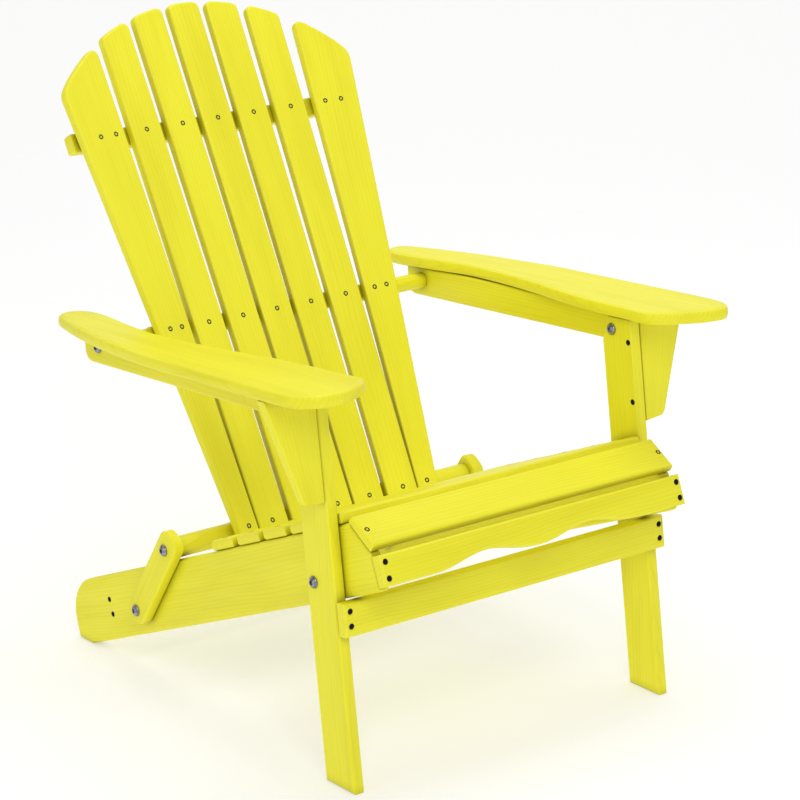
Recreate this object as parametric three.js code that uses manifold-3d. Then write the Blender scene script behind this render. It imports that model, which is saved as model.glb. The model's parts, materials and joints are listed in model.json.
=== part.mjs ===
// Folding garden armchair: slatted seat on two sloping side rails, fanned and dished back,
// wide arms, front legs that swing under the seat. Millimetres, +Z up, sitter faces -Y.
// "left" and "right" are the sitter's: left is +X.
import * as THREE from 'three';
import { mergeVertices } from 'three/addons/utils/BufferGeometryUtils.js';
import Module from 'manifold-3d';

const wasm = await Module();
wasm.setup();

// ---- driving dimensions -------------------------------------------------------------
const GAP = 0.3;                 // air left between pieces that touch
const BOARD = 18;                // thickness of rails, legs, links and arm boards
const FRAME_WIDTH = 521;         // outside of one side rail to the outside of the other
const PLY_GAP = 0.5;             // air between boards that swing past each other

const LEG_BACK = [84.4, 273.0];  // leg-to-rail pivot, (y, z) from the leg's front toe
const ARM_FRONT = [114.3, 512.4];
const ARM_REAR = [559.9, 484.4];
const BACK_FOOT = [435.1, 215.1];
const LINK_FOOT = [509.2, 103.1];
const DEPTH_CENTRE = 369.6;      // brings the whole chair's middle to y = 0

const RAIL_SLOPE = 22.7;         // degrees, down to the rear
const RAIL_BELOW = 30;           // rail edges measured from the leg pivot
const RAIL_ABOVE = 64.5;
const RAIL_FRONT = -112;
const RAIL_REAR = 661;
const HEEL_HEIGHT = -17.3;      // of the heel where the rail's rear edge rises from the floor
const RAIL_END_RADIUS = 60;
const NOSE_ANGLE = 53;           // of the cut under the first seat slat

const LEG_LEAN = 8.3;
const LEG_WIDTH = 61;
const LEG_PIVOT_IN = 16.9;       // pivot to the leg's rear edge
const LEG_TOP_GAP = 3;

const STRETCHER_HEIGHT = 46;
const STRETCHER_DROP = 1.2;      // air between its top and the rails
const APRON_TOP = 16.7;
const APRON_HEIGHT = 42;
const APRON_SCREW_IN = 8.1;      // outside of the rail to the apron's screws
const SCALLOP = 12.5;             // how far the wavy lower edge of the apron rises

const SEAT_SLAT_WIDTH = 54;
const SEAT_SLAT_PITCH = 66;
const SEAT_SLAT_THICK = 15.5;
const SEAT_START = -67;
const SEAT_COUNT = 5;            // on the straight part of the rails
const SLAT_ROUND = 4.5;

const ARM_SLOPE = 3.9;
const ARM_RAIL_BELOW = 22;
const ARM_RAIL_ABOVE = 22;
const ARM_RAIL_FRONT = -19.5;
const ARM_RAIL_REAR = 482;
const ARM_BOARD = 18;
const LEFT_TIP_EXTRA = 22;       // the left arm board reaches this much further forwards
const BRACKET_THICK = 15;
const BRACKET_TOP_WIDTH = 82;
const BRACKET_FOOT_WIDTH = 35;
const BRACKET_LENGTH = 149;

const BACK_RECLINE = 28.7;
const BACK_ORIGIN = [402.3, 232.0]; // lowest screw row on the back's face
const BACK_DISH = 2000;          // radius of the dished back
const BACK_SLAT_THICK = 15.4;
const BACK_SLAT_ROUND = 3.9;
const BACK_SLAT_WIDTH = 53;
const BACK_LOW_END = -30;
const BACK_ARCH_TOP = 769;
const BACK_ARCH_RADIUS = 342;
const ROW_TOP = 590;             // screw rows up the back
const DISH_GAP = 0.9;            // bar to slat, allows for flat slats on a curved bar
const TOP_BATTEN = [500, 28, 20];  // length, height, thickness
const BATTEN_DROP = 3.5;         // its middle below the top screw row
const MID_BAR_RADIUS = 12;
const LOW_BAR_RADIUS = 15;
const LINK_RADIUS = 20.5;
const LINK_TOP = 26;             // upper bolt to the link's upper end

const BOLT_RADIUS = 3;
const BOLT_CLEAR = 0.1;
const BOLT_HEAD = 8.3;
const SCREW_RADIUS = 1.95;
const SCREW_HEAD = 3.7;
const SCREW_CLEAR = 0.2;

// ---- values that follow from them -----------------------------------------------------
const RAIL_OUT = FRAME_WIDTH / 2;
const LEG_IN = RAIL_OUT + PLY_GAP;
const LEG_OUT = LEG_IN + BOARD;
const ARM_IN = LEG_OUT + PLY_GAP;
const ARM_OUT = ARM_IN + BOARD;
const deg = Math.PI / 180;

// position of a (y, z) point inside a frame with its own origin and tilt about X
function inFrame(origin, tilt, point) {
  const dy = point[0] - origin[0];
  const dz = point[1] - origin[1];
  const c = Math.cos(tilt * deg);
  const s = Math.sin(tilt * deg);
  return [dy * c + dz * s, dz * c - dy * s];
}

const rootGroup = new THREE.Group();
rootGroup.name = 'chair';

function frameGroup(origin, tilt) {
  const group = new THREE.Group();
  group.position.set(0, origin[0] - DEPTH_CENTRE, origin[1]);
  group.rotation.x = tilt * deg;
  rootGroup.add(group);
  return group;
}

const railGroup = frameGroup(LEG_BACK, -RAIL_SLOPE);
const legGroup = frameGroup(LEG_BACK, -LEG_LEAN);
const armGroup = frameGroup(ARM_FRONT, -ARM_SLOPE);
const backGroup = frameGroup(BACK_ORIGIN, -BACK_RECLINE);
const linkLean = Math.atan2(LINK_FOOT[0] - BACK_FOOT[0], BACK_FOOT[1] - LINK_FOOT[1]) / deg;
const linkLength = Math.hypot(LINK_FOOT[0] - BACK_FOOT[0], BACK_FOOT[1] - LINK_FOOT[1]);
const linkGroup = frameGroup(LINK_FOOT, linkLean);

// ---- materials --------------------------------------------------------------------------
const PAINT = 0xe9e23a;
const STEEL = 0x8d8f99;
const DARK = 0x2b2c45;

function paint() {
  return new THREE.MeshStandardMaterial({ color: PAINT, roughness: 0.55, metalness: 0 });
}

function steel() {
  return new THREE.MeshStandardMaterial({ color: STEEL, roughness: 0.35, metalness: 1 });
}

function dark() {
  return new THREE.MeshStandardMaterial({ color: DARK, roughness: 0.45, metalness: 0.8 });
}

// ---- outlines ----------------------------------------------------------------------------
// corners [a, b, radius, segments] to a list of points, each corner rounded
function rounded(corners) {
  const points = [];
  const count = corners.length;
  for (let i = 0; i < count; i += 1) {
    const here = new THREE.Vector2(corners[i][0], corners[i][1]);
    const radius = corners[i][2] || 0;
    if (radius === 0) {
      points.push(here);
      continue;
    }
    const before = corners[(i + count - 1) % count];
    const after = corners[(i + 1) % count];
    const toBefore = new THREE.Vector2(before[0], before[1]).sub(here).normalize();
    const toAfter = new THREE.Vector2(after[0], after[1]).sub(here).normalize();
    const half = Math.acos(toBefore.dot(toAfter)) / 2;
    const run = radius / Math.tan(half);
    const middle = toBefore.clone().add(toAfter).normalize();
    const centre = here.clone().addScaledVector(middle, radius / Math.sin(half));
    const start = here.clone().addScaledVector(toBefore, run).sub(centre);
    const end = here.clone().addScaledVector(toAfter, run).sub(centre);
    const steps = corners[i][3] || 3;
    let sweep = end.angle() - start.angle();
    if (sweep > Math.PI) {
      sweep -= 2 * Math.PI;
    }
    if (sweep < -Math.PI) {
      sweep += 2 * Math.PI;
    }
    for (let k = 0; k <= steps; k += 1) {
      const angle = start.angle() + (sweep * k) / steps;
      points.push(new THREE.Vector2(Math.cos(angle), Math.sin(angle)).multiplyScalar(radius).add(centre));
    }
  }
  return points;
}

function circle(a, b, radius, steps) {
  const points = [];
  for (let k = 0; k < steps; k += 1) {
    const angle = (-2 * Math.PI * k) / steps;
    points.push(new THREE.Vector2(a + radius * Math.cos(angle), b + radius * Math.sin(angle)));
  }
  return points;
}

const boltHole = (p) => circle(p[0], p[1], BOLT_RADIUS + BOLT_CLEAR, 20);
const screwHole = (p) => circle(p[0], p[1], SCREW_RADIUS + SCREW_CLEAR, 10);

// board with eased edges, extruded along +Z from 0 to its thickness
function board(outline, thickness, edge, segments, holes) {
  const shape = new THREE.Shape(outline);
  for (const hole of holes || []) {
    shape.holes.push(new THREE.Path(hole));
  }
  const geometry = new THREE.ExtrudeGeometry(shape, {
    depth: thickness - 2 * edge,
    steps: 1,
    bevelEnabled: true,
    bevelThickness: edge,
    bevelSize: edge,
    bevelOffset: -edge,
    bevelSegments: segments,
    curveSegments: 6,
  });
  geometry.translate(0, 0, edge);
  return geometry;
}

function place(group, name, geometry, material) {
  const mesh = new THREE.Mesh(geometry, material);
  mesh.name = name;
  group.add(mesh);
  return mesh;
}

// board seen from the side: outline (y, z), thickness along +X from x
function sideBoard(group, name, geometry, x) {
  const mesh = place(group, name, geometry, paint());
  mesh.quaternion.set(0.5, 0.5, 0.5, 0.5);
  mesh.position.x = x;
  return mesh;
}

// board seen from the front: outline (x, z), thickness forwards from y
function faceBoard(group, name, geometry, y) {
  const mesh = place(group, name, geometry, paint());
  mesh.rotation.x = Math.PI / 2;
  mesh.position.y = y;
  return mesh;
}

// ---- fastenings ----------------------------------------------------------------------------
function boltGeometry(length) {
  const profile = [
    [0, 5.2],
    [3.6, 4.9],
    [6.6, 3.6],
    [BOLT_HEAD, 1.6],
    [BOLT_HEAD, GAP],
    [BOLT_RADIUS, GAP],
    [BOLT_RADIUS, -length + 0.8],
    [BOLT_RADIUS - 0.8, -length],
    [0, -length],
  ];
  const points = profile.map((p) => new THREE.Vector2(p[0], p[1])).reverse();
  return new THREE.LatheGeometry(points, 20);
}

function screwGeometry(length) {
  const profile = [
    [0, -0.4],
    [SCREW_HEAD, -0.5],
    [SCREW_HEAD - 0.25, -0.75],
    [SCREW_RADIUS, -2.45],
    [SCREW_RADIUS, -length],
    [0, -length],
  ];
  const points = profile.map((p) => new THREE.Vector2(p[0], p[1])).reverse();
  return new THREE.LatheGeometry(points, 10);
}

// fastening whose head faces along +X or -X (side = 1 or -1)
function acrossFastening(group, name, geometry, material, x, p, side) {
  const mesh = place(group, name, geometry, material);
  mesh.rotation.z = (-Math.PI / 2) * side;
  mesh.position.set(x, p[0], p[1]);
  return mesh;
}

// fastening whose head faces forwards
function frontFastening(group, name, geometry, material, x, y, z) {
  const mesh = place(group, name, geometry, material);
  mesh.rotation.x = Math.PI;
  mesh.position.set(x, y, z);
  return mesh;
}

// ---- solids joined or bored with a kernel -----------------------------------------------------
function toSolid(geometry) {
  const bare = geometry.clone();
  bare.deleteAttribute('normal');
  bare.deleteAttribute('uv');
  const merged = mergeVertices(bare, 1e-4);
  return new wasm.Manifold(new wasm.Mesh({
    numProp: 3,
    vertProperties: new Float32Array(merged.attributes.position.array),
    triVerts: new Uint32Array(merged.index.array),
  }));
}

function fromSolid(solid) {
  const mesh = solid.getMesh();
  const geometry = new THREE.BufferGeometry();
  geometry.setAttribute('position', new THREE.BufferAttribute(new Float32Array(mesh.vertProperties), 3));
  geometry.setIndex(new THREE.BufferAttribute(new Uint32Array(mesh.triVerts), 1));
  geometry.computeVertexNormals();
  return geometry;
}

function rodAlongX(radius, x0, x1, y, z, segments) {
  const geometry = new THREE.CylinderGeometry(radius, radius, x1 - x0, segments);
  geometry.rotateZ(Math.PI / 2);
  geometry.translate((x0 + x1) / 2, y, z);
  return geometry;
}

// ---- side rails and what is fixed to them --------------------------------------------------------
const noseBack = RAIL_FRONT + (RAIL_ABOVE - (APRON_TOP + 3.8)) / Math.tan(NOSE_ANGLE * deg);
const footSin = Math.sin(RAIL_SLOPE * deg);
const footCos = Math.cos(RAIL_SLOPE * deg);
// distance along the rail at which a line of the given height meets the floor
const floorAt = (h) => (LEG_BACK[1] + h * footCos) / footSin;
const railCorners = [
  [RAIL_FRONT, -RAIL_BELOW, 3, 1],
  [floorAt(-RAIL_BELOW), -RAIL_BELOW],
  [floorAt(HEEL_HEIGHT), HEEL_HEIGHT, 5, 2],
  [RAIL_REAR, RAIL_ABOVE, RAIL_END_RADIUS, 8],
  [noseBack, RAIL_ABOVE],
  [RAIL_FRONT, APRON_TOP + 3.8],
];
const linkFootInRail = inFrame(LEG_BACK, -RAIL_SLOPE, LINK_FOOT);
const crossbarAt = inFrame(LEG_BACK, -RAIL_SLOPE, [604.5, 74.8]);
const CROSSBAR = [18, 46];
const CROSSBAR_SCREW = 11;
const crossbarScrews = [
  [crossbarAt[0], crossbarAt[1] + CROSSBAR_SCREW],
  [crossbarAt[0], crossbarAt[1] - CROSSBAR_SCREW],
];
const railHoles = [boltHole([0, 0]), boltHole(linkFootInRail)].concat(crossbarScrews.map(screwHole));
const RAIL_EDGE = 2.5;
for (const [label, side] of [['left', 1], ['right', -1]]) {
  const railGeometry = board(rounded(railCorners), BOARD, RAIL_EDGE, 1, railHoles);
  sideBoard(railGroup, `side_rail_${label}`, railGeometry, side > 0 ? RAIL_OUT - BOARD : -RAIL_OUT);
  crossbarScrews.forEach((p, i) => {
    acrossFastening(railGroup, `crossbar_screw_${label}_${i + 1}`, screwGeometry(BOARD - 0.5), dark(),
      side * RAIL_OUT, p, side);
  });
}

const crossbarLength = FRAME_WIDTH - 2 * BOARD - 2 * GAP;
const crossbar = board(rounded([
  [-crossbarLength / 2, -CROSSBAR[1] / 2],
  [crossbarLength / 2, -CROSSBAR[1] / 2],
  [crossbarLength / 2, CROSSBAR[1] / 2],
  [-crossbarLength / 2, CROSSBAR[1] / 2],
]), CROSSBAR[0], 2.5, 1, []);
const crossbarMesh = faceBoard(railGroup, 'rear_crossbar', crossbar, crossbarAt[0] + CROSSBAR[0] / 2);
crossbarMesh.position.z = crossbarAt[1];

// front apron with its wavy lower edge
const apronLow = APRON_TOP - APRON_HEIGHT;
const apronHalf = RAIL_OUT;
const apronOutline = [];
const APRON_STEPS = 48;
const APRON_FLAT = 0.16;
for (let k = 0; k <= APRON_STEPS; k += 1) {
  const t = k / APRON_STEPS;
  const x = (2 * t - 1) * apronHalf;
  const fromEnd = Math.min(t, 1 - t);
  const inside = Math.max(0, (fromEnd - APRON_FLAT) / (0.5 - APRON_FLAT));
  const lift = inside === 0 ? 0 : SCALLOP * 0.5 * (1 - Math.cos(2 * Math.PI * inside));
  apronOutline.push(new THREE.Vector2(x, apronLow + lift));
}
apronOutline.push(new THREE.Vector2(apronHalf, APRON_TOP));
apronOutline.push(new THREE.Vector2(-apronHalf, APRON_TOP));
const apronScrewX = RAIL_OUT - APRON_SCREW_IN;
const apronScrews = [[apronScrewX, 6.5], [apronScrewX, -15.5], [-apronScrewX, 6.5], [-apronScrewX, -15.5]];
faceBoard(railGroup, 'front_apron', board(apronOutline, BOARD, 2.5, 1, apronScrews.map(screwHole)),
  RAIL_FRONT - GAP);
apronScrews.forEach((p, i) => {
  frontFastening(railGroup, `apron_screw_${i + 1}`, screwGeometry(BOARD - 0.5), dark(),
    p[0], RAIL_FRONT - GAP - BOARD, p[1]);
});

// seat slats
function seatSlat() {
  return board(rounded([
    [-RAIL_OUT, 0],
    [RAIL_OUT, 0],
    [RAIL_OUT, SEAT_SLAT_WIDTH],
    [-RAIL_OUT, SEAT_SLAT_WIDTH],
  ]), SEAT_SLAT_THICK, SLAT_ROUND, 2, []);
}
for (let i = 0; i < SEAT_COUNT; i += 1) {
  const slat = place(railGroup, `seat_slat_${i + 2}`, seatSlat(), paint());
  slat.position.set(0, SEAT_START + i * SEAT_SLAT_PITCH, RAIL_ABOVE + GAP);
}
const noseSlat = place(railGroup, 'seat_slat_1', seatSlat(), paint());
noseSlat.rotation.x = NOSE_ANGLE * deg;
const noseRun = Math.hypot(noseBack - RAIL_FRONT, RAIL_ABOVE - APRON_TOP - 3.8);
const noseStart = (noseRun - SEAT_SLAT_WIDTH) / 2;
const noseC = Math.cos(NOSE_ANGLE * deg);
const noseS = Math.sin(NOSE_ANGLE * deg);
const noseY = RAIL_FRONT + noseStart * noseC - GAP * noseS;
const noseZ = APRON_TOP + 3.8 + noseStart * noseS + GAP * noseC;
noseSlat.position.set(0, noseY, noseZ);

// ---- front legs -----------------------------------------------------------------------------------
const legFront = LEG_PIVOT_IN - LEG_WIDTH;
const armFrontInLeg = inFrame(LEG_BACK, -LEG_LEAN, ARM_FRONT);
const legC = Math.cos(LEG_LEAN * deg);
const legS = Math.sin(LEG_LEAN * deg);
// leg-frame height at which the line through v meets the floor
const floorInLeg = (v) => (-LEG_BACK[1] + v * legS) / legC;
// leg-frame height of the armrest's underside over v
const tiltArm = Math.tan((LEG_LEAN - ARM_SLOPE) * deg);
const underArm = (v) => armFrontInLeg[1] + (ARM_RAIL_ABOVE + GAP) / Math.cos((LEG_LEAN - ARM_SLOPE) * deg)
  + (v - armFrontInLeg[0]) * tiltArm;
const legTop = (v) => underArm(v) - LEG_TOP_GAP;
const CHAMFER_RUN = 15;
const CHAMFER_DROP = 36;
const legCorners = [
  [legFront, floorInLeg(legFront)],
  [LEG_PIVOT_IN, floorInLeg(LEG_PIVOT_IN)],
  [LEG_PIVOT_IN, legTop(LEG_PIVOT_IN) - CHAMFER_DROP, 6, 1],
  [LEG_PIVOT_IN - CHAMFER_RUN, legTop(LEG_PIVOT_IN - CHAMFER_RUN), 4, 1],
  [legFront, legTop(legFront), 3, 1],
];
const bracketMid = legFront + BRACKET_THICK / 2;
const bracketScrews = [[bracketMid, armFrontInLeg[1] - 17], [bracketMid, armFrontInLeg[1] - 101]];
const legHoles = [boltHole([0, 0]), boltHole(armFrontInLeg)].concat(bracketScrews.map(screwHole));
const bracketTop = underArm(legFront) - 0.6;
for (const [label, side] of [['left', 1], ['right', -1]]) {
  sideBoard(legGroup, `front_leg_${label}`, board(rounded(legCorners), BOARD, 2.5, 1, legHoles),
    side > 0 ? LEG_IN : -LEG_OUT);
  bracketScrews.forEach((p, i) => {
    acrossFastening(legGroup, `bracket_screw_${label}_${i + 1}`, screwGeometry(BOARD - 0.4), dark(),
      side * LEG_IN, p, -side);
  });
  acrossFastening(legGroup, `leg_bolt_${label}`, boltGeometry(2 * BOARD + PLY_GAP), steel(),
    side * LEG_OUT, [0, 0], side);
  // the front arm bolt ends inside the leg: this pivot is left open
  acrossFastening(legGroup, `arm_bolt_${label}`, boltGeometry(BOARD - 0.4), steel(),
    side * LEG_IN, armFrontInLeg, -side);
  const b0 = side * (LEG_OUT + GAP);
  const inward = side * BRACKET_TOP_WIDTH;
  const footward = side * BRACKET_FOOT_WIDTH;
  const corners = [
    [b0, bracketTop - BRACKET_LENGTH],
    [b0 + footward - side * 4, bracketTop - BRACKET_LENGTH + 3],
    [b0 + footward, bracketTop - BRACKET_LENGTH + 8],
    [b0 + inward, bracketTop],
    [b0, bracketTop],
  ];
  if (side < 0) {
    corners.reverse();
  }
  faceBoard(legGroup, `arm_bracket_${label}`, board(rounded(corners), BRACKET_THICK, 1.8, 1, []),
    legFront + BRACKET_THICK);
}

// the stretcher lies close under the rails' lower edges
const railToLeg = (RAIL_SLOPE - LEG_LEAN) * deg;
const stretcherFall = RAIL_BELOW + STRETCHER_DROP + (legFront - GAP) * Math.sin(railToLeg);
const stretcherTop = -stretcherFall / Math.cos(railToLeg);
const stretcherHalf = LEG_OUT + 0.5;
const stretcherLow = stretcherTop - STRETCHER_HEIGHT;
const stretcherScrews = [];
for (const sx of [1, -1]) {
  for (const dz of [-12, -32]) {
    stretcherScrews.push([sx * (LEG_IN + LEG_OUT) / 2, stretcherTop + dz]);
  }
}
faceBoard(legGroup, 'front_stretcher', board(rounded([
  [-stretcherHalf, stretcherLow],
  [stretcherHalf, stretcherLow],
  [stretcherHalf, stretcherTop],
  [-stretcherHalf, stretcherTop],
]), BOARD, 2.5, 1, stretcherScrews.map(screwHole)), legFront - GAP);
stretcherScrews.forEach((p, i) => {
  frontFastening(legGroup, `stretcher_screw_${i + 1}`, screwGeometry(BOARD - 0.5), dark(),
    p[0], legFront - GAP - BOARD, p[1]);
});

// ---- arms --------------------------------------------------------------------------------------------
const armRearInArm = inFrame(ARM_FRONT, -ARM_SLOPE, ARM_REAR);
const armRailCorners = [
  [ARM_RAIL_FRONT, -ARM_RAIL_BELOW, 18, 4],
  [ARM_RAIL_REAR, -ARM_RAIL_BELOW, 16, 4],
  [ARM_RAIL_REAR, ARM_RAIL_ABOVE],
  [ARM_RAIL_FRONT, ARM_RAIL_ABOVE],
];
// plan of one armrest: distance out from the chair's middle, distance back from the front pivot
const armInner = [
  [262, -117], [243, -96], [240.5, -72], [244, -40], [246, 15], [254, 92], [266, 157],
  [276, 232], [281, 301], [281, 347], [272, 418], [265, 465], [265, 502],
];
const armEnd = [[277, 526], [297, 532], [311, 524]];
const armOuter = [
  [320, 503], [337, 439], [351, 369], [360, 293], [366, 231], [366.5, 150], [366.5, 20],
];
// front end: the third value is the share of the left board's extra reach
const armTip = [[366.5, -72, 0.6], [359.5, -107, 0.85], [336, -128, 1], [300, -132, 0.5]];
for (const [label, side] of [['left', 1], ['right', -1]]) {
  sideBoard(armGroup, `arm_rail_${label}`, board(rounded(armRailCorners), BOARD, 2.5, 1,
    [boltHole(armRearInArm)]), side > 0 ? ARM_IN : -ARM_OUT);
  const extra = side > 0 ? LEFT_TIP_EXTRA : 0;
  const tip = armTip.map((p) => [p[0], p[1] - p[2] * extra]);
  const plan = armInner.concat(armEnd, armOuter, tip);
  const curve = new THREE.SplineCurve(plan.map((p) => new THREE.Vector2(side * p[0], p[1])));
  const outline = curve.getPoints(84);
  if (side > 0) {
    outline.reverse();
  }
  const rest = place(armGroup, `armrest_${label}`, board(outline, ARM_BOARD, 6, 2, []), paint());
  rest.position.z = ARM_RAIL_ABOVE + GAP;
  acrossFastening(armGroup, `back_bolt_${label}`, boltGeometry(BOARD + PLY_GAP + 22), steel(),
    side * ARM_OUT, armRearInArm, side);
}

// ---- back ---------------------------------------------------------------------------------------------
const dish = (x) => (x * x) / (2 * BACK_DISH);
const archAt = (x) => BACK_ARCH_TOP - BACK_ARCH_RADIUS + Math.sqrt(BACK_ARCH_RADIUS ** 2 - x * x);
// half outlines: centre at the lowest and top screw rows, half widths at the same rows
const fan = [
  [0, 0, BACK_SLAT_WIDTH / 2, BACK_SLAT_WIDTH / 2],
  [56.2, 63.2, BACK_SLAT_WIDTH / 2, BACK_SLAT_WIDTH / 2],
  [116.4, 127.9, BACK_SLAT_WIDTH / 2, BACK_SLAT_WIDTH / 2],
  [162.2, 208.3, 17.6, 38.4],
];
const SLAT_CORNER = 9;
const OUTER_CORNER = 26;
function backSlat(index, side) {
  const [lowX, topX, lowHalf, topHalf] = fan[index];
  const at = (s, sign) => {
    const k = s / ROW_TOP;
    return lowX + (topX - lowX) * k + sign * (lowHalf + (topHalf - lowHalf) * k);
  };
  // top corners lie where the slanted edges meet the arch
  const meet = (sign) => {
    let s = ROW_TOP;
    for (let n = 0; n < 12; n += 1) {
      s = archAt(at(s, sign));
    }
    return s;
  };
  const outerTop = meet(1);
  const innerTop = meet(-1);
  const outerX = at(outerTop, 1);
  const innerX = at(innerTop, -1);
  const archPoints = [0.25, 0.5, 0.75].map((k) => outerX + (innerX - outerX) * k).map((x) => [x, archAt(x)]);
  const outerRound = index === fan.length - 1 ? [OUTER_CORNER, 5] : [SLAT_CORNER, 3];
  const corners = [
    [at(BACK_LOW_END, -1), BACK_LOW_END],
    [at(BACK_LOW_END, 1), BACK_LOW_END],
    [at(outerTop - 1, 1), outerTop - 1, outerRound[0], outerRound[1]],
    archPoints[0],
    archPoints[1],
    archPoints[2],
    [at(innerTop - 1, -1), innerTop - 1, SLAT_CORNER, 3],
  ];
  const tilt = Math.atan((dish(topX) - dish(lowX)) / ROW_TOP);
  const turn = (lowX + topX) / 2 / BACK_DISH;
  const placed = corners.map((c) => [side * (c[0] - lowX), c[1], c[2], c[3]]);
  if (side < 0) {
    placed.reverse();
  }
  const geometry = board(rounded(placed), BACK_SLAT_THICK, BACK_SLAT_ROUND, 3, []);
  const mesh = place(backGroup, `back_slat_${index === 0 ? 4 : 4 - side * index}`, geometry, paint());
  mesh.rotation.order = 'ZYX';
  mesh.rotation.x = Math.PI / 2 + tilt;
  mesh.rotation.z = -side * turn;
  mesh.position.set(side * lowX, BACK_SLAT_THICK - dish(lowX), 0);
}
backSlat(0, 1);
for (let index = 1; index < fan.length; index += 1) {
  backSlat(index, 1);
  backSlat(index, -1);
}

// front of the curved bars, seen from above
function dishLine(half, depth, steps) {
  const line = [];
  for (let k = 0; k <= steps; k += 1) {
    const x = -half + (2 * half * k) / steps;
    line.push([x, depth - dish(x)]);
  }
  return line;
}
const barFace = BACK_SLAT_THICK + DISH_GAP;
const battenBack = dishLine(TOP_BATTEN[0] / 2, barFace + TOP_BATTEN[2], 12).reverse();
const battenOutline = dishLine(TOP_BATTEN[0] / 2, barFace, 12).concat(battenBack)
  .map((p) => new THREE.Vector2(p[0], p[1]));
const batten = place(backGroup, 'top_batten', board(battenOutline, TOP_BATTEN[1], 2.5, 1, []), paint());
batten.position.z = ROW_TOP - BATTEN_DROP - TOP_BATTEN[1] / 2;

// bar with a dished face, a straight back and round ends bored for its bolts
function bar(name, at, radius, shoulder, reach, back) {
  const outline = dishLine(shoulder, barFace, 12);
  outline.push([shoulder, back]);
  outline.push([-shoulder, back]);
  const middle = board(outline.map((p) => new THREE.Vector2(p[0], p[1])), 2 * radius, 3, 1, []);
  middle.translate(0, 0, at[1] - radius);
  let solid = toSolid(middle);
  for (const side of [1, -1]) {
    const root = shoulder - 3;
    const tenon = side > 0 ? [root, reach] : [-reach, -root];
    solid = solid.add(toSolid(rodAlongX(radius - 0.05, tenon[0], tenon[1], at[0], at[1], 20)));
    const x0 = side > 0 ? reach - 30 : -reach - 1;
    solid = solid.subtract(toSolid(rodAlongX(BOLT_RADIUS + BOLT_CLEAR, x0, x0 + 31, at[0], at[1], 16)));
  }
  place(backGroup, name, fromSolid(solid), paint());
}
const armRearInBack = inFrame(BACK_ORIGIN, -BACK_RECLINE, ARM_REAR);
const footInBack = inFrame(BACK_ORIGIN, -BACK_RECLINE, BACK_FOOT);
bar('middle_bar', armRearInBack, MID_BAR_RADIUS, 218, ARM_IN - PLY_GAP, armRearInBack[0] + MID_BAR_RADIUS);
bar('lower_bar', footInBack, LOW_BAR_RADIUS, 170, RAIL_OUT, footInBack[0] + LOW_BAR_RADIUS);

// ---- links ---------------------------------------------------------------------------------------------
const linkCorners = [
  [-LINK_RADIUS, -LINK_RADIUS, LINK_RADIUS - 1, 6],
  [LINK_RADIUS, -LINK_RADIUS, LINK_RADIUS - 1, 6],
  [LINK_RADIUS, linkLength + LINK_TOP, 14, 4],
  [-LINK_RADIUS, linkLength + LINK_TOP, 14, 4],
];
for (const [label, side] of [['left', 1], ['right', -1]]) {
  sideBoard(linkGroup, `link_${label}`, board(rounded(linkCorners), BOARD, 2.5, 1,
    [boltHole([0, 0]), boltHole([0, linkLength])]), side > 0 ? LEG_IN : -LEG_OUT);
  acrossFastening(linkGroup, `link_lower_bolt_${label}`, boltGeometry(2 * BOARD + PLY_GAP), steel(),
    side * LEG_OUT, [0, 0], side);
  acrossFastening(linkGroup, `link_upper_bolt_${label}`, boltGeometry(BOARD + PLY_GAP + 22), steel(),
    side * LEG_OUT, [0, linkLength], side);
}

export default rootGroup;
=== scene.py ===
import json
import math

import bpy
import numpy as np
from mathutils import Matrix, Vector


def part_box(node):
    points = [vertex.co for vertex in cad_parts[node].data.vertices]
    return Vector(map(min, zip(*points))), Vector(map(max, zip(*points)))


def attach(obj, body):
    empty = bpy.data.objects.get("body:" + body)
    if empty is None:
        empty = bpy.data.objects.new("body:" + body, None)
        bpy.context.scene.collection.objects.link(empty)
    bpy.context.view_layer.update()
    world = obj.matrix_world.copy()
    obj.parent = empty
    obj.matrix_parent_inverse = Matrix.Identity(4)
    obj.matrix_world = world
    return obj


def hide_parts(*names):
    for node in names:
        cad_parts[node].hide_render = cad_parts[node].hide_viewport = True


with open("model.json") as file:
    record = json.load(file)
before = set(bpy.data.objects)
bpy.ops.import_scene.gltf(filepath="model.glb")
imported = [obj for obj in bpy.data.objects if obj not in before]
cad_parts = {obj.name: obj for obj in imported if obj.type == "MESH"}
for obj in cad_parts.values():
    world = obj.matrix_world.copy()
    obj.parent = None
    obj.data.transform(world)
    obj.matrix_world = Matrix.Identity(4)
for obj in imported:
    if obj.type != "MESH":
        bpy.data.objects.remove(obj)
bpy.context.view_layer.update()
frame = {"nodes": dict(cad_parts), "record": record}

bl_info = {
    "name": "Folding slatted garden armchair",
    "version": (1, 0, 0),
    "blender": (4, 5, 0),
    "location": "3D Viewport > Sidebar > Armchair",
    "description": "Finishes the boards, bolts and screws of a folding garden armchair",
    "category": "Object",
}

MM = 0.001
NODES = frame["nodes"]
BODY_OF = {
    node: body
    for body, members in frame["record"]["behaviour"]["bodies"].items()
    for node in members
}
JOINT_AT = {joint["name"]: Vector(joint["pos_m"]) for joint in frame["record"]["behaviour"]["joints"]}
RECLINE = math.radians(28.7)       # the back, from upright
RAIL_SLOPE = math.radians(22.7)    # the seat, down to the rear
SINK = 0.12 * MM                   # a slat screw is driven this far below the face
STAND = 0.2 * MM                   # a frame screw's face stands this far past its CAD one's
TOP_ROW_RISE = 293 * MM            # from the middle row of screws to the top row, up the back
SEAT_SCREW_X = 252.5 * MM          # half the distance between the two screws of a seat slat
AIM = Vector((0, 0, 0.45))         # every lamp looks at the middle of the chair


# ---- sizes and colours a user may change ------------------------------------------------


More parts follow.
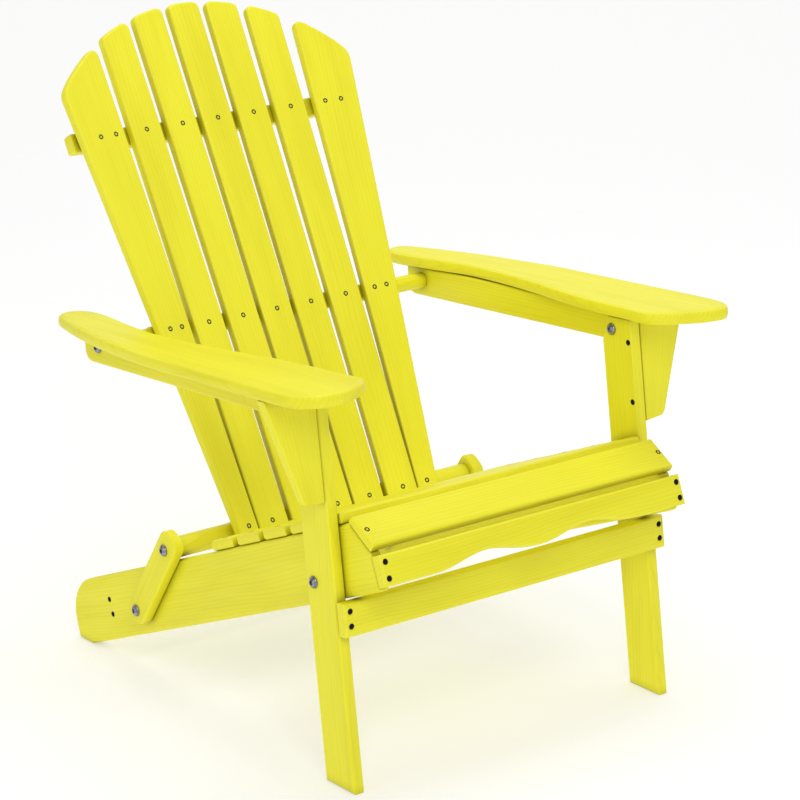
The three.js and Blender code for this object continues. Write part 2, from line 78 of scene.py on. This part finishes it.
class BoardFinish(bpy.types.PropertyGroup):
    """Paint and timber of the boards."""

    paint: bpy.props.StringProperty(
        name="Paint", description="Colour of the paint on a flat face, sRGB hex", default="F3ED2C")
    thin_paint: bpy.props.StringProperty(
        name="Thin paint", description="Where the paint thins over late wood", default="DDD30F")
    knot_paint: bpy.props.StringProperty(
        name="Knot", description="Paint sunk into a knot", default="B7A90E")
    # painted shade: the darker colour laid into the narrow places between boards, where ambient
    # occlusion finds them close
    gap_shade_paint: bpy.props.StringProperty(
        name="Seam", description="Paint and dust in the narrow places between boards", default="A39A0C")
    # paint worn thin and a painted highlight: the lighter colour laid along the sanded edges
    worn_edge_and_highlight_paint: bpy.props.StringProperty(
        name="Edge", description="Paint along an eased edge", default="F7F24E")
    ring_spacing: bpy.props.FloatProperty(
        name="Ring spacing", description="Distance between growth rings on a flat-sawn face",
        default=5.5 * MM, unit="LENGTH")
    knot_spacing: bpy.props.FloatProperty(
        name="Knot spacing", description="Usual distance from one knot to the next",
        default=120 * MM, unit="LENGTH")
    edge_radius: bpy.props.FloatProperty(
        name="Sanded edge", description="Radius sanded onto every corner of a board",
        default=0.9 * MM, unit="LENGTH")


class FasteningSizes(bpy.types.PropertyGroup):
    """Bolt and screw heads."""

    bolt_head: bpy.props.FloatProperty(
        name="Bolt head radius", description="Outside of the domed head",
        default=8.3 * MM, unit="LENGTH")
    socket: bpy.props.FloatProperty(
        name="Hex socket", description="Half the width across the flats",
        default=2.9 * MM, unit="LENGTH")
    screw_head: bpy.props.FloatProperty(
        name="Screw head radius", description="Outside of the flat head",
        default=3.75 * MM, unit="LENGTH")
    steel: bpy.props.StringProperty(
        name="Zinc steel", description="Bolt heads, sRGB hex", default="A7A8B4")
    phosphate: bpy.props.StringProperty(
        name="Blackened steel", description="Screw heads, sRGB hex", default="1E1F3C")


class StudioSettings(bpy.types.PropertyGroup):
    """Floor, lamps and camera."""

    floor: bpy.props.StringProperty(
        name="Floor", description="Studio floor, sRGB hex", default="CDCDCD")
    floor_glow: bpy.props.FloatProperty(
        name="Floor glow", description="Light from a lit table under the paper", default=0.45)
    lens: bpy.props.FloatProperty(
        name="Focal length", description="In mm on a 36 mm sensor", default=138.83)
    azimuth: bpy.props.FloatProperty(
        name="Azimuth", description="Camera heading about Z",
        default=math.radians(-38.198), subtype="ANGLE")
    elevation: bpy.props.FloatProperty(
        name="Elevation", description="Camera height angle",
        default=math.radians(17.466), subtype="ANGLE")
    place: bpy.props.FloatVectorProperty(
        name="Camera place", description="Where the camera stands", size=3,
        default=(-2.5149, -3.3079, 1.7039), subtype="TRANSLATION")


# ---- colours and node trees ----------------------------------------------------------------


def linear(hexed, alpha=1.0):
    """sRGB hex to the linear colour that a shader takes."""
    parts = [int(hexed[i:i + 2], 16) / 255 for i in (0, 2, 4)]
    return tuple(p / 12.92 if p <= 0.04045 else ((p + 0.055) / 1.055) ** 2.4 for p in parts) + (alpha,)


def add(tree, kind, links=None, **settings):
    """Adds a node. links maps an input's name or number to a value or to another node's output."""
    made = tree.nodes.new(kind)
    for key, value in settings.items():
        setattr(made, key, value)
    for key, value in (links or {}).items():
        if isinstance(value, bpy.types.NodeSocket):
            tree.links.new(value, made.inputs[key])
        else:
            made.inputs[key].default_value = value
    return made


def ramp(tree, factor, stops):
    """A colour ramp: stops are (position, linear colour)."""
    made = add(tree, "ShaderNodeValToRGB", {0: factor})
    elements = made.color_ramp.elements
    while len(elements) < len(stops):
        elements.new(0.5)
    for element, (position, colour) in zip(elements, stops):
        element.position = position
        element.color = colour
    return made.outputs[0]


def grey(value):
    return (value, value, value, 1.0)


def new_material(name):
    material = bpy.data.materials.new(name)
    material.use_nodes = True
    tree = material.node_tree
    tree.nodes.clear()
    return material, tree


def board_axes(obj):
    """Middle of a board and its three directions: along the grain, across it and through it."""
    co = np.array([v.co for v in obj.data.vertices], float)
    middle = (co.max(0) + co.min(0)) / 2
    flat = co - co.mean(0)
    normals = [(np.array(p.normal), p.area) for p in obj.data.polygons]
    spread = sum(a * np.outer(n, n) for n, a in normals)
    _, vectors = np.linalg.eigh(spread)
    through = vectors[:, 2]
    rest = flat - np.outer(flat @ through, through)
    _, _, rows = np.linalg.svd(rest, full_matrices=False)
    along = rows[0]
    across = np.cross(through, along)
    return middle, along, across, through


def painted_pine(name, obj, seed, finish):
    """Pine boards, planed, sanded and brushed with one satin coat of yellow outdoor paint.

    The coat is thin, so growth rings stand up through it as fine ridges, knots show as
    slightly darker spots with a ring round them, and corners are painted lighter, where the
    sanded edge takes less paint and as a painted highlight along the edge."""
    material, tree = new_material(name)
    middle, along, across, through = board_axes(obj)
    turn = Matrix((along, across, through)).to_3x3()
    angles = turn.to_euler("XYZ")
    random = np.random.default_rng(seed)
    shift = random.uniform(-3.0, 3.0, 3)
    centre = turn @ Vector(middle)
    place = Vector((shift[0], random.uniform(-0.01, 0.01), shift[2])) - centre
    coords = add(tree, "ShaderNodeTexCoord").outputs["Object"]
    board = add(tree, "ShaderNodeMapping", {
        "Vector": coords, "Rotation": angles, "Location": place}, vector_type="POINT").outputs[0]

    # slow wander of the grain along the board, 150 mm long and 25 mm wide
    long_space = add(tree, "ShaderNodeMapping", {
        "Vector": board, "Scale": (0.16, 1.0, 1.0)}).outputs[0]
    wander = add(tree, "ShaderNodeTexNoise", {
        "Vector": long_space, "Scale": 24.0, "Detail": 2.0, "Roughness": 0.5}).outputs["Fac"]
    wide = add(tree, "ShaderNodeTexNoise", {
        "Vector": long_space, "Scale": 9.0, "Detail": 1.0}).outputs["Fac"]

    # knots: one cell each, only some cells have one
    knot_cells = 1.0 / finish.knot_spacing
    cell_space = add(tree, "ShaderNodeMapping", {
        "Vector": board, "Scale": (0.62, 1.0, 0.25)}).outputs[0]
    cells = add(tree, "ShaderNodeTexVoronoi", {
        "Vector": cell_space, "Scale": knot_cells, "Randomness": 0.9})
    has_knot = add(tree, "ShaderNodeMath", {
        0: add(tree, "ShaderNodeSeparateColor", {0: cells.outputs["Color"]}).outputs[0],
        1: 0.66}, operation="GREATER_THAN").outputs[0]
    near = add(tree, "ShaderNodeMapRange", {
        "Value": cells.outputs["Distance"], "From Min": 0.035, "From Max": 0.30,
        "To Min": 1.0, "To Max": 0.0}, interpolation_type="SMOOTHSTEP").outputs[0]
    pull = add(tree, "ShaderNodeMath", {0: near, 1: has_knot}, operation="MULTIPLY").outputs[0]
    core = add(tree, "ShaderNodeMapRange", {
        "Value": cells.outputs["Distance"], "From Min": 0.030, "From Max": 0.052,
        "To Min": 1.0, "To Max": 0.0}, interpolation_type="SMOOTHSTEP").outputs[0]
    core = add(tree, "ShaderNodeMath", {0: core, 1: has_knot}, operation="MULTIPLY").outputs[0]
    rim = add(tree, "ShaderNodeMath", {
        0: cells.outputs["Distance"], 1: 0.052}, operation="SUBTRACT").outputs[0]
    rim = add(tree, "ShaderNodeMath", {0: rim}, operation="ABSOLUTE").outputs[0]
    rim = add(tree, "ShaderNodeMapRange", {
        "Value": rim, "From Min": 0.003, "From Max": 0.012, "To Min": 1.0, "To Max": 0.0}).outputs[0]
    rim = add(tree, "ShaderNodeMath", {0: rim, 1: has_knot}, operation="MULTIPLY").outputs[0]

    # growth rings: bands across the board, bent by the wander and pushed aside by knots
    parts = add(tree, "ShaderNodeSeparateXYZ", {0: board})
    rings = add(tree, "ShaderNodeMath", {
        0: parts.outputs[1], 1: 1.0 / finish.ring_spacing}, operation="MULTIPLY").outputs[0]
    for source, weight in ((wander, 3.6), (wide, 9.0), (pull, 3.2), (parts.outputs[2], 60.0)):
        push = add(tree, "ShaderNodeMath", {0: source, 1: weight}, operation="MULTIPLY").outputs[0]
        rings = add(tree, "ShaderNodeMath", {0: rings, 1: push}, operation="ADD").outputs[0]
    wave = add(tree, "ShaderNodeMath", {0: rings}, operation="FRACT").outputs[0]
    late = ramp(tree, wave, [(0.0, grey(0.15)), (0.55, grey(0.3)), (0.86, grey(1.0)), (0.97, grey(0.2))])

    # fibres 0.5 mm wide, drawn as coarse as they still show, and pores of the brushed coat
    fibre_space = add(tree, "ShaderNodeMapping", {
        "Vector": board, "Scale": (0.035, 1.0, 1.0)}).outputs[0]
    fibres = add(tree, "ShaderNodeTexNoise", {
        "Vector": fibre_space, "Scale": 900.0, "Detail": 3.0, "Roughness": 0.6}).outputs["Fac"]
    streaks = add(tree, "ShaderNodeTexNoise", {
        "Vector": fibre_space, "Scale": 170.0, "Detail": 2.0, "Roughness": 0.55}).outputs["Fac"]
    speckle = add(tree, "ShaderNodeTexNoise", {
        "Vector": board, "Scale": 420.0, "Detail": 2.0}).outputs["Fac"]
    mottle = add(tree, "ShaderNodeTexNoise", {
        "Vector": long_space, "Scale": 16.0, "Detail": 3.0, "Roughness": 0.6}).outputs["Fac"]

    # thin paint over late wood and in slow patches
    thin = add(tree, "ShaderNodeMath", {0: late, 1: streaks}, operation="MULTIPLY").outputs[0]
    thin = add(tree, "ShaderNodeMath", {0: thin, 1: 0.62}, operation="MULTIPLY").outputs[0]
    patch = add(tree, "ShaderNodeMapRange", {
        "Value": mottle, "From Min": 0.42, "From Max": 0.72, "To Min": 0.0, "To Max": 0.45}).outputs[0]
    thin = add(tree, "ShaderNodeMath", {0: thin, 1: patch}, operation="ADD", use_clamp=True).outputs[0]
    colour = add(tree, "ShaderNodeMix", {
        0: thin, 6: linear(finish.paint), 7: linear(finish.thin_paint)}, data_type="RGBA").outputs[2]
    # sanded corners, painted lighter for paint worn thin there and as a painted highlight: a wide
    # rounded normal differs from the true one only near an edge
    soft = add(tree, "ShaderNodeBevel", {"Radius": 3.0 * MM}, samples=4).outputs[0]
    true = add(tree, "ShaderNodeNewGeometry").outputs["Normal"]
    alike = add(tree, "ShaderNodeVectorMath", {
        0: soft, 1: true}, operation="DOT_PRODUCT").outputs["Value"]
    edge = add(tree, "ShaderNodeMapRange", {
        "Value": alike, "From Min": 0.80, "From Max": 0.995, "To Min": 0.7, "To Max": 0.0}).outputs[0]
    edge = add(tree, "ShaderNodeMath", {0: edge, 1: speckle}, operation="MULTIPLY").outputs[0]
    colour = add(tree, "ShaderNodeMix", {
        0: edge, 6: colour, 7: linear(finish.worn_edge_and_highlight_paint)}, data_type="RGBA").outputs[2]
    sunk = add(tree, "ShaderNodeMath", {0: core, 1: 0.42}, operation="MULTIPLY").outputs[0]
    ringed = add(tree, "ShaderNodeMath", {0: rim, 1: 0.75}, operation="MULTIPLY").outputs[0]
    sunk = add(tree, "ShaderNodeMath", {0: sunk, 1: ringed}, operation="MAXIMUM").outputs[0]
    colour = add(tree, "ShaderNodeMix", {
        0: sunk, 6: colour, 7: linear(finish.knot_paint)}, data_type="RGBA").outputs[2]

    # painted shade: the colour is darkened toward the gap shade colour where ambient occlusion finds
    # boards facing each other in narrow places
    open_air = add(tree, "ShaderNodeAmbientOcclusion", {"Distance": 16 * MM}, samples=6).outputs["AO"]
    gap_shade_mask = add(tree, "ShaderNodeMapRange", {
        "Value": open_air, "From Min": 0.30, "From Max": 0.92, "To Min": 0.75, "To Max": 0.0}).outputs[0]
    colour = add(tree, "ShaderNodeMix", {
        0: gap_shade_mask, 6: colour, 7: linear(finish.gap_shade_paint)}, data_type="RGBA").outputs[2]

    # relief in metres: ridges 0.06 mm, fibres 0.05 mm, knots sunk 0.12 mm
    height = add(tree, "ShaderNodeMath", {0: late, 1: 0.06 * MM}, operation="MULTIPLY").outputs[0]
    for source, weight in ((fibres, 0.05 * MM), (streaks, 0.09 * MM), (speckle, 0.03 * MM),
                           (core, -0.12 * MM), (rim, -0.10 * MM)):
        part = add(tree, "ShaderNodeMath", {0: source, 1: weight}, operation="MULTIPLY").outputs[0]
        height = add(tree, "ShaderNodeMath", {0: height, 1: part}, operation="ADD").outputs[0]
    bump = add(tree, "ShaderNodeBump", {"Height": height, "Strength": 1.0, "Distance": 1.0}).outputs[0]
    rough = add(tree, "ShaderNodeMapRange", {
        "Value": streaks, "From Min": 0.3, "From Max": 0.7, "To Min": 0.40, "To Max": 0.56}).outputs[0]
    shader = add(tree, "ShaderNodeBsdfPrincipled", {
        "Base Color": colour, "Roughness": rough, "Normal": bump, "IOR": 1.48,
        "Specular IOR Level": 0.42}).outputs[0]
    add(tree, "ShaderNodeOutputMaterial", {0: shader})
    return material


def zinc_steel(sizes):
    """Zinc-plated steel, pressed and passivated: grey with a blue cast, cloudy, fine turning marks."""
    material, tree = new_material("zinc_plated_steel_pressed")
    coords = add(tree, "ShaderNodeTexCoord").outputs["Object"]
    cloud = add(tree, "ShaderNodeTexNoise", {
        "Vector": coords, "Scale": 260.0, "Detail": 3.0}).outputs["Fac"]
    grain = add(tree, "ShaderNodeTexNoise", {
        "Vector": coords, "Scale": 2400.0, "Detail": 2.0}).outputs["Fac"]
    tint = ramp(tree, cloud, [
        (0.35, linear("6D6E80")), (0.62, linear(sizes.steel)), (0.85, linear("C9CAD2"))])
    rough = add(tree, "ShaderNodeMapRange", {
        "Value": cloud, "From Min": 0.3, "From Max": 0.7, "To Min": 0.24, "To Max": 0.42}).outputs[0]
    bump = add(tree, "ShaderNodeBump", {
        "Height": grain, "Strength": 0.25, "Distance": 0.05 * MM}).outputs[0]
    shader = add(tree, "ShaderNodeBsdfPrincipled", {
        "Base Color": tint, "Roughness": rough, "Normal": bump, "Metallic": 1.0}).outputs[0]
    add(tree, "ShaderNodeOutputMaterial", {0: shader})
    return material


def blackened_steel(sizes):
    """Phosphated steel screws, oiled: near black with a blue cast, in places worn paler."""
    material, tree = new_material("phosphated_steel_oiled")
    coords = add(tree, "ShaderNodeTexCoord").outputs["Object"]
    worn = add(tree, "ShaderNodeTexNoise", {
        "Vector": coords, "Scale": 900.0, "Detail": 3.0}).outputs["Fac"]
    tint = ramp(tree, worn, [
        (0.40, linear("0E0F20")), (0.60, linear(sizes.phosphate)), (0.85, linear("3C3D58"))])
    rough = add(tree, "ShaderNodeMapRange", {
        "Value": worn, "From Min": 0.3, "From Max": 0.7, "To Min": 0.50, "To Max": 0.68}).outputs[0]
    bump = add(tree, "ShaderNodeBump", {
        "Height": worn, "Strength": 0.3, "Distance": 0.06 * MM}).outputs[0]
    shader = add(tree, "ShaderNodeBsdfPrincipled", {
        "Base Color": tint, "Roughness": rough, "Normal": bump, "Metallic": 0.1,
        "Specular IOR Level": 0.15}).outputs[0]
    add(tree, "ShaderNodeOutputMaterial", {0: shader})
    return material


# ---- mesh code --------------------------------------------------------------------------------


def turned(name, rings, segments):
    """A closed body of rings round +Z. Each ring is (radius or radius by angle, height)."""
    points = []
    faces = []
    for radius, height in rings:
        for k in range(segments):
            angle = 2 * math.pi * k / segments
            r = radius(angle) if callable(radius) else radius
            points.append((r * math.cos(angle), r * math.sin(angle), height))
    for row in range(len(rings) - 1):
        for k in range(segments):
            a = row * segments + k
            b = row * segments + (k + 1) % segments
            faces.append((a, b, b + segments, a + segments))
    first = len(points)
    points.append((0, 0, rings[0][1]))
    points.append((0, 0, rings[-1][1]))
    top = (len(rings) - 1) * segments
    for k in range(segments):
        faces.append((first, (k + 1) % segments, k))
        faces.append((first + 1, top + k, top + (k + 1) % segments))
    mesh = bpy.data.meshes.new(name)
    mesh.from_pydata(points, [], faces)
    mesh.validate()
    mesh.update()
    for polygon in mesh.polygons:
        polygon.use_smooth = True
    return mesh


def put(name, mesh, at, direction, body, material, spin=0.0):
    """Places a turned body with its +Z along direction and lets it move with a body of the chair."""
    obj = bpy.data.objects.new(name, mesh)
    bpy.context.scene.collection.objects.link(obj)
    turn = Vector(direction).to_track_quat("Z", "Y").to_matrix().to_4x4()
    mesh.transform(Matrix.Translation(at) @ turn @ Matrix.Rotation(spin, 4, "Z"))
    mesh.materials.append(material)
    crease = obj.modifiers.new("crisp", "EDGE_SPLIT")
    crease.split_angle = math.radians(38)
    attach(obj, body)
    return obj


def hexagon(half_width):
    return lambda angle: half_width / math.cos((angle % (math.pi / 3)) - math.pi / 6)


def cross(reach, half_width):
    def radius(angle):
        off = abs((angle + math.pi / 4) % (math.pi / 2) - math.pi / 4)
        return min(reach, half_width / max(math.sin(off), 1e-4))
    return radius


def bolt_mesh(name, sizes, length):
    """Domed bolt with a hex socket; z = 0 is the face it is tightened against."""
    head = sizes.bolt_head
    shank = 3 * MM
    rings = [
        (shank - 0.6 * MM, -length), (shank, -length + 0.6 * MM), (shank, 0.35 * MM),
        (head - 0.3 * MM, 0.3 * MM), (head, 0.6 * MM), (head, 1.3 * MM), (head - 0.35 * MM, 2.0 * MM),
        (head - 1.3 * MM, 3.1 * MM), (head - 2.8 * MM, 4.2 * MM), (head - 4.2 * MM, 4.8 * MM),
        (hexagon(sizes.socket + 0.35 * MM), 4.95 * MM), (hexagon(sizes.socket), 4.6 * MM),
        (hexagon(sizes.socket - 0.1 * MM), 2.4 * MM), (sizes.socket * 0.35, 2.1 * MM),
    ]
    return turned(name, rings, 48)


def screw_mesh(name, sizes, length):
    """Flat-headed screw with a cross recess; z = 0 is the board's face."""
    head = sizes.screw_head
    core = 1.9 * MM
    top = 0.25 * MM
    rings = [
        (core * 0.5, -length), (core, -length + 1.0 * MM), (core, -2.5 * MM),
        (head - 0.35 * MM, -0.55 * MM), (head, -0.2 * MM), (head, top - 0.15 * MM),
        (head - 0.25 * MM, top), (head - 0.9 * MM, top + 0.05 * MM),
        (cross(2.5 * MM, 0.72 * MM), top), (cross(2.2 * MM, 0.5 * MM), top - 0.5 * MM),
        (cross(1.0 * MM, 0.4 * MM), top - 1.3 * MM),
    ]
    return turned(name, rings, 40)


def fastening_axis(node):
    """Where a CAD bolt or screw stands: its far end, its direction towards the head, its length."""
    co = np.array([v.co for v in NODES[node].data.vertices], float)
    middle = co.mean(0)
    low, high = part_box(node)
    spans = high - low
    if spans[0] > max(spans[1], spans[2]):
        direction = np.array([1.0, 0.0, 0.0])
    else:
        _, _, rows = np.linalg.svd(co - middle, full_matrices=False)
        direction = rows[0]
    along = (co - middle) @ direction
    off = np.linalg.norm((co - middle) - np.outer(along, direction), axis=1)
    if along[int(off.argmax())] < 0:
        direction = -direction
        along = -along
    centre = Vector((low + high) / 2)
    way = Vector(direction)
    centre_along = (np.array(centre) - middle) @ np.array(way)
    tip = centre + way * float(along.min() - centre_along)
    return tip, way, float(along.max() - along.min())


# ---- one operator for each group of like pieces --------------------------------------------------


class CHAIR_OT_boards(bpy.types.Operator):
    """Sand, round and paint every board"""

    bl_idname = "chair.boards"
    bl_label = "Paint the boards"

    def execute(self, context):
        finish = context.scene.chair_boards
        seed = 11
        for node in sorted(NODES):
            if "bolt" in node or "screw" in node:
                continue
            obj = NODES[node]
            seed += 7
            material = painted_pine("pine_painted_" + node, obj, seed, finish)
            obj.data.materials.clear()
            obj.data.materials.append(material)
            for polygon in obj.data.polygons:
                polygon.use_smooth = True
                polygon.material_index = 0
            weld = obj.modifiers.new("weld", "WELD")
            weld.merge_threshold = 0.01 * MM
            sand = obj.modifiers.new("sanded edges", "BEVEL")
            sand.width = finish.edge_radius
            sand.segments = 2
            sand.limit_method = "ANGLE"
            sand.angle_limit = math.radians(24)
            level = obj.modifiers.new("level faces", "WEIGHTED_NORMAL")
            level.keep_sharp = False
            level.weight = 90
        return {"FINISHED"}


class CHAIR_OT_bolts(bpy.types.Operator):
    """Fit the domed pivot bolts"""

    bl_idname = "chair.bolts"
    bl_label = "Fit the pivot bolts"

    def execute(self, context):
        sizes = context.scene.chair_fastenings
        steel = zinc_steel(sizes)
        head = 5.2 * MM
        for count, node in enumerate(sorted(n for n in NODES if "bolt" in n)):
            tip, way, length = fastening_axis(node)
            shank = length - head
            mesh = bolt_mesh("domed_" + node, sizes, shank)
            bolt = put("domed_" + node, mesh, tip + way * shank, way, BODY_OF[node],
                       steel, spin=0.4 * count)
            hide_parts(node)
        return {"FINISHED"}


class CHAIR_OT_screws(bpy.types.Operator):
    """Drive the screws of the apron, stretcher, brackets and crossbar"""

    bl_idname = "chair.screws"
    bl_label = "Drive the frame screws"

    def execute(self, context):
        sizes = context.scene.chair_fastenings
        black = blackened_steel(sizes)
        for count, node in enumerate(sorted(n for n in NODES if "screw" in n)):
            tip, way, length = fastening_axis(node)
            mesh = screw_mesh("cross_" + node, sizes, length)
            screw = put("cross_" + node, mesh, tip + way * (length + STAND), way, BODY_OF[node],
                        black, spin=0.7 * count)
            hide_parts(node)
        return {"FINISHED"}


TOP_ROW_BEND = 8.8      # metres: the top row falls by the square of the distance out over this

# screws up the back: (half distance from the middle, row) by slat, in mm
BACK_SCREWS = {
    4: [(0, "low"), (0, "middle"), (0, "top")],
    3: [(57.5, "low"), (60.5, "middle"), (62.8, "top")],
    2: [(117.2, "low"), (121.8, "middle"), (127.4, "top")],
    1: [(160.0, "low"), (171.7, "middle"), (192.5, "middle"), (185.0, "top"), (212.0, "top")],
}


class CHAIR_OT_slat_screws(bpy.types.Operator):
    """Drive the screws through the seat slats and the back slats"""

    bl_idname = "chair.slat_screws"
    bl_label = "Drive the slat screws"

    def drive(self, context, name, node, eye, look, spin):
        """Screws a slat where a line from eye along look meets it."""
        hit, at, normal, _ = NODES[node].ray_cast(eye, look)
        if not hit:
            raise RuntimeError("no slat under the screw " + name)
        mesh = screw_mesh(name, context.scene.chair_fastenings, 16 * MM)
        put(name, mesh, at - normal * SINK, normal, BODY_OF[node],
            bpy.data.materials["phosphated_steel_oiled"], spin)

    def execute(self, context):
        up = Vector((0, math.sin(RECLINE), math.cos(RECLINE)))
        back = Vector((0, math.cos(RECLINE), -math.sin(RECLINE)))
        rows = {
            "low": JOINT_AT["back_pivot"],
            "middle": JOINT_AT["arm_pivot"],
            "top": JOINT_AT["arm_pivot"] + up * TOP_ROW_RISE,
        }
        spin = 0.0
        for slat, places in BACK_SCREWS.items():
            for side in ((1,) if slat == 4 else (1, -1)):
                number = slat if side > 0 else 8 - slat
                node = "back_slat_%d" % number
                for k, (x, row) in enumerate(places):
                    spin += 0.9
                    eye = rows[row] - back * 0.2
                    if row == "top":
                        eye -= up * (x * MM) ** 2 / TOP_ROW_BEND
                    eye.x = side * x * MM
                    self.drive(context, "%s_screw_%d" % (node, k + 1), node, eye, back, spin)
        down = Vector((0, -math.sin(RAIL_SLOPE), -math.cos(RAIL_SLOPE)))
        for number in range(1, 7):
            node = "seat_slat_%d" % number
            low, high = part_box(node)
            middle = (low + high) / 2
            look = down if number > 1 else Vector((0, 0.503, -0.864))
            for side in (1, -1):
                spin += 0.9
                eye = middle - look * 0.1
                eye.x = side * SEAT_SCREW_X
                self.drive(context, "%s_screw_%d" % (node, 1 if side > 0 else 2), node, eye, look, spin)
        return {"FINISHED"}


class CHAIR_OT_studio(bpy.types.Operator):
    """Set the floor, the lamps and the camera"""

    bl_idname = "chair.studio"
    bl_label = "Set up the studio"

    def execute(self, context):
        studio = context.scene.chair_studio
        scene = context.scene
        reach = 6.0
        rise = 1.6
        points = []
        faces = []
        profile = [(-reach, 0.0), (2.4, 0.0)]
        for k in range(1, 13):
            angle = math.pi / 2 * k / 12
            profile.append((2.4 + rise * math.sin(angle), rise - rise * math.cos(angle)))
        profile.append((2.4 + rise, 5.0))
        for y, z in profile:
            points += [(-reach, y, z - 0.0004), (reach, y, z - 0.0004)]
        for k in range(len(profile) - 1):
            faces.append((2 * k, 2 * k + 1, 2 * k + 3, 2 * k + 2))
        mesh = bpy.data.meshes.new("studio_floor")
        mesh.from_pydata(points, [], faces)
        for polygon in mesh.polygons:
            polygon.use_smooth = True
        floor = bpy.data.objects.new("studio_floor", mesh)
        floor.rotation_euler.z = studio.azimuth
        scene.collection.objects.link(floor)
        paper, tree = new_material("matte_paper_floor")
        noise = add(tree, "ShaderNodeTexNoise", {"Scale": 900.0, "Detail": 2.0}).outputs["Fac"]
        rough = add(tree, "ShaderNodeMapRange", {
            "Value": noise, "To Min": 0.82, "To Max": 0.95}).outputs[0]
        shader = add(tree, "ShaderNodeBsdfPrincipled", {
            "Base Color": linear(studio.floor), "Roughness": rough, "Specular IOR Level": 0.1,
            "Emission Color": linear("FFFFFF"), "Emission Strength": studio.floor_glow}).outputs[0]
        add(tree, "ShaderNodeOutputMaterial", {0: shader})
        mesh.materials.append(paper)

        world = bpy.data.worlds.new("studio_air")
        scene.world = world
        world.use_nodes = True
        world.node_tree.nodes["Background"].inputs[0].default_value = (1.0, 1.0, 1.0, 1.0)
        world.node_tree.nodes["Background"].inputs[1].default_value = 0.51
        lamps = (
            ("key", (-1.9, -3.0, 3.1), 1.8, 46.5),
            ("overhead", (0.4, 0.3, 3.6), 2.2, 39.0),
            ("left fill", (-3.6, -0.4, 1.4), 2.0, 10.0),
            ("right fill", (3.4, -1.2, 2.0), 2.0, 8.0),
        )
        for name, at, size, power in lamps:
            lamp = bpy.data.lights.new(name, "AREA")
            lamp.energy = power
            lamp.size = size
            lit = bpy.data.objects.new(name, lamp)
            lit.location = at
            lit.rotation_euler = (AIM - Vector(at)).to_track_quat("-Z", "Y").to_euler()
            scene.collection.objects.link(lit)

        camera = bpy.data.cameras.new("camera")
        camera.lens = studio.lens
        camera.sensor_width = 36.0
        camera.clip_end = 60.0
        taker = bpy.data.objects.new("camera", camera)
        taker.location = studio.place
        taker.rotation_euler = (math.pi / 2 - studio.elevation, 0.0, studio.azimuth)
        scene.collection.objects.link(taker)
        scene.camera = taker
        scene.view_settings.view_transform = "Standard"
        return {"FINISHED"}


class CHAIR_PT_panel(bpy.types.Panel):
    """Steps and settings of the armchair"""

    bl_idname = "CHAIR_PT_panel"
    bl_label = "Garden armchair"
    bl_space_type = "VIEW_3D"
    bl_region_type = "UI"
    bl_category = "Armchair"

    def draw(self, context):
        scene = context.scene
        for group in (scene.chair_boards, scene.chair_fastenings, scene.chair_studio):
            box = self.layout.box()
            for key in group.bl_rna.properties.keys():
                if key not in ("rna_type", "name"):
                    box.prop(group, key)
        for step in STEPS:
            self.layout.operator(step.bl_idname)


STEPS = (CHAIR_OT_boards, CHAIR_OT_bolts, CHAIR_OT_screws, CHAIR_OT_slat_screws, CHAIR_OT_studio)
CLASSES = (BoardFinish, FasteningSizes, StudioSettings) + STEPS + (CHAIR_PT_panel,)


def register():
    for cls in CLASSES:
        bpy.utils.register_class(cls)
    bpy.types.Scene.chair_boards = bpy.props.PointerProperty(type=BoardFinish)
    bpy.types.Scene.chair_fastenings = bpy.props.PointerProperty(type=FasteningSizes)
    bpy.types.Scene.chair_studio = bpy.props.PointerProperty(type=StudioSettings)


def unregister():
    del bpy.types.Scene.chair_studio
    del bpy.types.Scene.chair_fastenings
    del bpy.types.Scene.chair_boards
    for cls in reversed(CLASSES):
        bpy.utils.unregister_class(cls)


def main():
    register()
    bpy.ops.chair.boards()
    bpy.ops.chair.bolts()
    bpy.ops.chair.screws()
    bpy.ops.chair.slat_screws()
    bpy.ops.chair.studio()


if __name__ == "__main__":
    main()
